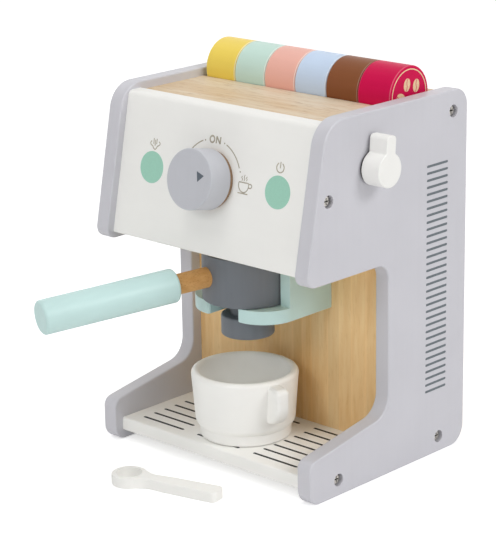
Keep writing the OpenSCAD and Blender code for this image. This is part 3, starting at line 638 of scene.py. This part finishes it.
# %% [markdown]
# The vents are thirty-four short level lines, one above the other, near the rear edge of each
# side. A texture could paint them, but a bar in a real groove keeps its crisp edge at any
# distance. The grooves are there already, so the ink is a bar that fills all but the last tenth
# of a millimetre of their depth.

# %% Vent lines
GROOVE_MM = 0.4
INK_MM = 0.3
VENT_LINE_MM = 1.7
VENT_COUNT = 34
VENT_LOW_MM = 48.9
VENT_PITCH_MM = 4.94
VENT_MM = 22.9
VENT_REAR_MM = 21.35
for side in (-1, 1):
    vents = bmesh.new()
    for k in range(VENT_COUNT):
        add_bar(vents, VENT_MM, VENT_LINE_MM, INK_MM, moved(0, k * VENT_PITCH_MM))
    start = Vector((side * (side_out - GROOVE_MM * MM), rear - (VENT_REAR_MM + VENT_MM) * MM,
                    VENT_LOW_MM * MM))
    place = drawing(start, BACK, UP, side * ACROSS)
    name = "vent_ink_right" if side > 0 else "vent_ink_left"
    finished(name, vents, inks["vent_ink"], "frame", place)
print("vent lines:", 2 * VENT_COUNT)

# %% [markdown]
# The drip lines of the base board stand in three columns and lie across the machine. They are
# made as the vents are, and their ink nearly fills the grooves.

# %% Drip lines
DRIP_LINE_MM = 2.3
DRIP_INK_MM = 0.38
DRIP_ROWS = 7
DRIP_PITCH_MM = 10.55
DRIP_FRONT_MM = 11.2
DRIP_MM = 40.9
DRIP_GAP_MM = 13.6
DRIP_SHIFT_MM = 2.7
drips = bmesh.new()
for row in range(DRIP_ROWS):
    for column in (-1, 0, 1):
        x = column * (DRIP_MM + DRIP_GAP_MM) - DRIP_MM / 2 - DRIP_SHIFT_MM
        add_bar(drips, DRIP_MM, DRIP_LINE_MM, DRIP_INK_MM, moved(x, row * DRIP_PITCH_MM))
tray_low, tray_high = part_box("base_board")
start = Vector((0, tray_low.y + DRIP_FRONT_MM * MM, tray_high.z - GROOVE_MM * MM))
place = drawing(start, ACROSS, BACK, UP)
finished("drip_ink", drips, inks["black_ink"], "frame", place)
print("drip lines:", 3 * DRIP_ROWS)

# %% [markdown]
# The signs on the face are screen prints: flat, even and only as thick as ink. The two round
# buttons are green, the icons are taupe. They could be masks in the paint of the panel, but
# thin solids are easier to place and stay sharp. Round shapes are circles and spun bands.

# %% Buttons and the power sign
PRINT_MM = 0.08
STROKE_MM = 0.8
BUTTON_MM = 22.3
BUTTONS = ((-57.6, -0.6), (60.6, 0.9))
POWER_AT = (60.5, 17.3)
POWER_RING_MM, POWER_STEM_MM, STEM_TOP_MM = 3.25, 4.4, 4.0
buttons = bmesh.new()
for x, up in BUTTONS:
    add_disc(buttons, BUTTON_MM / 2, PRINT_MM, 64, moved(x, up))
finished("printed_buttons", buttons, inks["green_ink"], "frame", face)

power = bmesh.new()
add_ring(power, POWER_RING_MM, STROKE_MM, PRINT_MM, start=118, sweep=304)
add_bar(power, POWER_STEM_MM, STROKE_MM, PRINT_MM, moved(0, STEM_TOP_MM) @ turned(-90))
finished("power_sign", power, inks["sign_ink"], "frame", face @ moved(*POWER_AT))
print("buttons and power sign printed")

# %% Arcs and dots round the dial
ARC_MM = 27.3
ARC_SHIFT_MM = -0.6
DOT_MM = 1.1
DOTS = ((8.4, 25.7), (25.5, 9.1), (-9.6, 25.6))
arcs = bmesh.new()
for start, sweep in ((24.5, 42), (113.8, 60)):
    add_ring(arcs, ARC_MM, STROKE_MM, PRINT_MM, start, sweep)
finished("dial_arcs", arcs, inks["sign_ink"], "frame", face @ moved(ARC_SHIFT_MM, 0))

dots = bmesh.new()
for x, up in DOTS:
    add_disc(dots, DOT_MM / 2, PRINT_MM, 16, moved(x, up))
finished("dial_dots", dots, inks["sign_ink"], "frame", face)
print("dial marked")

# %% [markdown]
# The word ON, the cup and the steam are line drawings: strokes with soft bends. A curve object
# does that well: its points carry handles, and its bevel gives the stroke a width. The round
# tube is then pressed flat, so that it lies on the paint like ink.


# %% Strokes
def stroke(bm, points, closed=False, width=STROKE_MM, smooth=True):
    """Adds a flat stroke through points in millimetres to a bmesh."""
    curve = bpy.data.curves.new("stroke", "CURVE")
    curve.dimensions = "3D"
    curve.resolution_u = 6
    curve.bevel_depth = width / 2
    curve.bevel_resolution = 1
    curve.use_fill_caps = True
    spline = curve.splines.new("BEZIER")
    spline.bezier_points.add(len(points) - 1)
    for knot, (x, y) in zip(spline.bezier_points, points):
        knot.co = (x, y, 0)
        knot.handle_left_type = knot.handle_right_type = "AUTO" if smooth else "VECTOR"
    spline.use_cyclic_u = closed
    carrier = bpy.data.objects.new("stroke", curve)
    bpy.context.scene.collection.objects.link(carrier)
    bpy.context.view_layer.update()
    ready = carrier.evaluated_get(bpy.context.evaluated_depsgraph_get())
    mesh = bpy.data.meshes.new_from_object(ready)
    bpy.data.objects.remove(carrier)
    mesh.transform(Matrix.Diagonal((1, 1, PRINT_MM / (width / 2), 1)))
    bm.from_mesh(mesh)


print("strokes are", STROKE_MM, "mm wide and", PRINT_MM, "mm thick")

# %% The word
LETTER_MM = 1.15
word = bmesh.new()
stroke(word, [(-3.35, 29.3), (-1.25, 27.1), (-3.35, 24.8), (-5.45, 27.0)], closed=True,
       width=LETTER_MM)
for ends in ([(0.5, 24.7), (0.6, 29.4)], [(0.6, 29.4), (4.2, 24.7)], [(4.2, 24.7), (4.25, 29.4)]):
    stroke(word, ends, smooth=False, width=LETTER_MM)
finished("on_word", word, inks["sign_ink"], "frame", face)
print("word drawn")

# %% Cup and steam signs
WISP_MM = 0.65
cup_sign = bmesh.new()
stroke(cup_sign, [(25.5, 2.5), (34.2, 2.5)], smooth=False)
stroke(cup_sign, [(25.5, 2.5), (25.3, 0.2), (26.4, -2.3), (28.6, -3.9), (31.3, -3.9), (33.5, -2.1),
                  (34.4, 0.2), (34.2, 2.5)])
stroke(cup_sign, [(34.4, 1.8), (36.0, 2.2), (37.2, 1.0), (36.3, -0.4), (34.5, -0.4)])
stroke(cup_sign, [(25.2, -4.9), (34.3, -4.9)], smooth=False)
for wisp in ([(27.7, 3.6), (28.4, 4.6), (27.4, 5.7), (28.0, 6.7)],
             [(29.7, 3.6), (30.3, 4.9), (29.7, 6.2), (30.3, 7.8)],
             [(32.0, 3.8), (32.4, 4.9), (31.8, 5.9), (32.4, 6.9)]):
    stroke(cup_sign, wisp, width=WISP_MM)
finished("cup_sign", cup_sign, inks["sign_ink"], "frame", face)

steam_sign = bmesh.new()
stroke(steam_sign, [(-60.2, 17.6), (-61.3, 16.1), (-60.4, 14.8), (-59.0, 14.2), (-58.2, 12.9),
                    (-56.6, 12.1), (-55.3, 12.9), (-54.6, 14.3), (-53.2, 15.1), (-52.1, 16.4),
                    (-53.4, 17.8)])
for x, low, high in ((-58.3, 15.6, 19.6), (-56.85, 14.4, 18.7), (-55.4, 15.8, 19.6)):
    stroke(steam_sign, [(x, low), (x, high)], smooth=False)
finished("steam_sign", steam_sign, inks["sign_ink"], "frame", face)
print("cup and steam drawn")

# %% [markdown]
# The dial's pointer is a triangle, which is a disc of only three sides. A bevel of its upright
# edges softens the corners.

# %% Pointer on the dial
KNOB_FRONT_MM = 22.0
POINTER_MM = 4.2
POINTER_CORNER_MM = 0.35
POINTER_AT, POINTER_TURN = (9.3, 3.4), -79
pointer = bmesh.new()
add_disc(pointer, POINTER_MM, PRINT_MM, 3)
uprights = [e for e in pointer.edges if abs(e.verts[0].co.z - e.verts[1].co.z) > PRINT_MM / 2]
bmesh.ops.bevel(pointer, geom=uprights, offset=POINTER_CORNER_MM, segments=3, profile=0.5,
                affect="EDGES", material=-1)
aim = moved(*POINTER_AT, KNOB_FRONT_MM) @ turned(POINTER_TURN)
finished("dial_pointer", pointer, inks["pointer_ink"], "dial", face @ aim)
print("pointer printed")

# %% [markdown]
# Every pod carries the same print on its right end: a ring with coffee beans in it. A bean is a
# circle stretched to an oval, with a stroke in the pod's own colour as its crease. A row of the
# table gives a bean's middle and how many degrees it leans.

# %% Prints on the pods
BEAN_RING_MM = 18.0
BEAN_HALF_MM = (3.3, 4.6)
CREASE = ((0.2, 4.7), (-0.5, 1.6), (0.5, -1.6), (-0.2, -4.7))
BEANS = ((-2.4, 7.5, -12.0), (7.4, 5.7, -10.0), (-8.8, -0.8, 68.0), (1.5, -7.5, 20.0))
POD_BODIES = {"pod_yellow": "yellow_pod", "pod_mint": "mint_pod", "pod_salmon": "salmon_pod",
              "pod_blue": "blue_pod", "pod_brown": "brown_pod", "pod_red": "red_pod"}
for pod, body in POD_BODIES.items():
    low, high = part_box(pod)
    end = Vector((high.x, (low.y + high.y) / 2, (low.z + high.z) / 2))
    place = drawing(end, BACK, UP, ACROSS)
    beans = bmesh.new()
    creases = bmesh.new()
    add_ring(beans, BEAN_RING_MM, STROKE_MM, PRINT_MM)
    for x, y, lean in BEANS:
        spot = moved(x, y) @ turned(lean)
        add_disc(beans, 1.0, PRINT_MM, 32, spot @ Matrix.Diagonal((*BEAN_HALF_MM, 1, 1)))
        earlier = set(creases.verts)
        stroke(creases, CREASE)
        drawn = [v for v in creases.verts if v not in earlier]
        bmesh.ops.transform(creases, matrix=moved(0, 0, PRINT_MM / 2) @ spot, verts=drawn)
    finished(pod + "_beans", beans, inks["cream_ink"], body, place)
    finished(pod + "_creases", creases, nodes[pod].data.materials[0], body, place)
print("pods printed:", len(POD_BODIES))

# %% [markdown]
# ## Softer edges
# Boards come from the workshop with their sharp edges taken off. The Bevel modifier does that
# without touching the mesh. The mesh arrives as loose triangles, so Weld joins them first and
# Decimate in planar mode melts flat areas into single faces. A node group then drops the
# normals that came with the mesh and shades smooth every edge that bends less than a limit,
# which turns the facets of round parts into curves. Weighted Normal comes last and keeps the
# flat faces flat beside their rounded edges.

# %% Shading by angle
SMOOTH_BELOW = math.radians(34)
shading = bpy.data.node_groups.new("shade_round_parts", "GeometryNodeTree")
shading.interface.new_socket("Geometry", in_out="INPUT", socket_type="NodeSocketGeometry")
shading.interface.new_socket("Geometry", in_out="OUTPUT", socket_type="NodeSocketGeometry")
bare = shading.nodes.new("GeometryNodeRemoveAttribute")
bare.inputs["Name"].default_value = "custom_normal"
all_smooth = shading.nodes.new("GeometryNodeSetShadeSmooth")
edge_angle = shading.nodes.new("GeometryNodeInputMeshEdgeAngle")
gentle = shading.nodes.new("FunctionNodeCompare")
gentle.operation = "LESS_THAN"
gentle.inputs[1].default_value = SMOOTH_BELOW
by_edge = shading.nodes.new("GeometryNodeSetShadeSmooth")
by_edge.domain = "EDGE"
steps = [shading.nodes.new("NodeGroupInput"), bare, all_smooth, by_edge,
         shading.nodes.new("NodeGroupOutput")]
for step, following in zip(steps, steps[1:]):
    shading.links.new(step.outputs[0], following.inputs[0])
shading.links.new(edge_angle.outputs["Unsigned Angle"], gentle.inputs[0])
shading.links.new(gentle.outputs[0], by_edge.inputs["Shade Smooth"])
print("group", shading.name, "with", len(shading.nodes), "nodes")


# %% Soften every node
WELD_M = 1e-6
FLAT_WITHIN = math.radians(0.5)
SHARP_ABOVE = math.radians(50)


def soften(piece, arris):
    """Joins a node's triangles, rounds its sharp edges by arris millimetres and shades it."""
    weld = piece.modifiers.new("join_triangles", "WELD")
    weld.merge_threshold = WELD_M
    if arris:
        flat = piece.modifiers.new("melt_flat_areas", "DECIMATE")
        flat.decimate_type = "DISSOLVE"
        flat.angle_limit = FLAT_WITHIN
        bevel = piece.modifiers.new("break_the_arris", "BEVEL")
        bevel.width = arris * MM
        bevel.segments = 3
        bevel.limit_method = "ANGLE"
        bevel.angle_limit = SHARP_ABOVE
        bevel.harden_normals = False
    smooth = piece.modifiers.new("shade_round_parts", "NODES")
    smooth.node_group = shading
    level = piece.modifiers.new("keep_flats_flat", "WEIGHTED_NORMAL")
    level.keep_sharp = True


ARRIS_MM = {"front_panel": 0.4, "top_board": 0.5, "base_board": 0.5, "column_board": 0.5,
            "back_board": 0.8, "head_floor": 0.4, "group_holder": 1.0}
for name, piece in nodes.items():
    soften(piece, ARRIS_MM.get(name, 0))
print("softened", len(ARRIS_MM), "boards and shaded", len(nodes), "nodes")

# %% [markdown]
# ## The studio
# The floor is a plain white sheet. To the camera it glows a little, so that it melts into the
# white background, yet it still shows the shadow under the toy, and it throws a faint light
# back on the pieces, as a lit table does. More light on the floor would whiten it too, but it
# would wash out the toy as well.

# %% Floor
FLOOR_HALF = 4.0
floor_sheet = bmesh.new()
bmesh.ops.create_grid(floor_sheet, x_segments=1, y_segments=1, size=FLOOR_HALF)
floor_mesh = bpy.data.meshes.new("studio_floor")
floor_sheet.to_mesh(floor_mesh)
floor_sheet.free()
floor = bpy.data.objects.new("studio_floor", floor_mesh)
bpy.context.scene.collection.objects.link(floor)

FLOOR_GLOW = 0.435
FLOOR_BOUNCE = 0.10
sheet, sheet_tree = new_material("white_sheet")
shader = sheet_tree.nodes["Principled BSDF"]
shader.inputs["Base Color"].default_value = linear(249, 249, 249)
shader.inputs["Roughness"].default_value = 0.9
shader.inputs["Specular IOR Level"].default_value = 0.0
shader.inputs["Emission Color"].default_value = (1, 1, 1, 1)
rays = put(sheet_tree, "ShaderNodeLightPath").outputs
to_camera = maths(sheet_tree, "MULTIPLY", rays["Is Camera Ray"], FLOOR_GLOW)
to_pieces = maths(sheet_tree, "MULTIPLY", rays["Is Diffuse Ray"], FLOOR_BOUNCE)
glow = maths(sheet_tree, "ADD", to_camera, to_pieces)
sheet_tree.links.new(glow, shader.inputs["Emission Strength"])
floor_mesh.materials.append(sheet)
print("floor glow", FLOOR_GLOW)

# %% [markdown]
# The world is white to the camera and in reflections, and a calmer grey to everything else,
# which gives an even light from all sides.

# %% World
AMBIENT = 0.43
world = bpy.data.worlds.new("white_studio")
bpy.context.scene.world = world
world.use_nodes = True
sky = world.node_tree
backdrop = sky.nodes["Background"]
backdrop.inputs["Color"].default_value = (1, 1, 1, 1)
rays = put(sky, "ShaderNodeLightPath").outputs
mirrored = maths(sky, "MAXIMUM", rays["Is Glossy Ray"], rays["Is Transmission Ray"])
direct = maths(sky, "MAXIMUM", rays["Is Camera Ray"], mirrored)
sky.links.new(spread(sky, direct, 0.0, 1.0, AMBIENT, 1.0), backdrop.inputs["Strength"])
print("ambient", AMBIENT)

# %% [markdown]
# Five soft boxes add a gentle direction: a key and a higher one from the front, one from above,
# and one from each side. A wide disc lights softly, so that shadows have no hard edge.

# %% Soft boxes
LIT_POINT = Vector((0, 0, 0.12))
SOFT_BOXES = {  # place, diameter, watts
    "key_soft_box": ((0.3, -1.95, 1.2), 0.6, 6.5),
    "high_soft_box": ((0.1, -1.3, 2.0), 0.8, 4.5),
    "top_soft_box": ((0.0, -0.2, 2.0), 0.8, 5.5),
    "right_soft_box": ((2.0, 0.4, 1.5), 1.0, 18.5),
    "left_soft_box": ((-2.0, 0.5, 1.0), 1.0, 6.0),
}
for name, (place, diameter, watts) in SOFT_BOXES.items():
    lamp = bpy.data.lights.new(name, "AREA")
    lamp.shape = "DISK"
    lamp.size = diameter
    lamp.energy = watts
    stand = bpy.data.objects.new(name, lamp)
    stand.location = place
    stand.rotation_mode = "QUATERNION"
    stand.rotation_quaternion = (LIT_POINT - Vector(place)).to_track_quat("-Z", "Y")
    bpy.context.scene.collection.objects.link(stand)
print("soft boxes placed:", len(SOFT_BOXES))
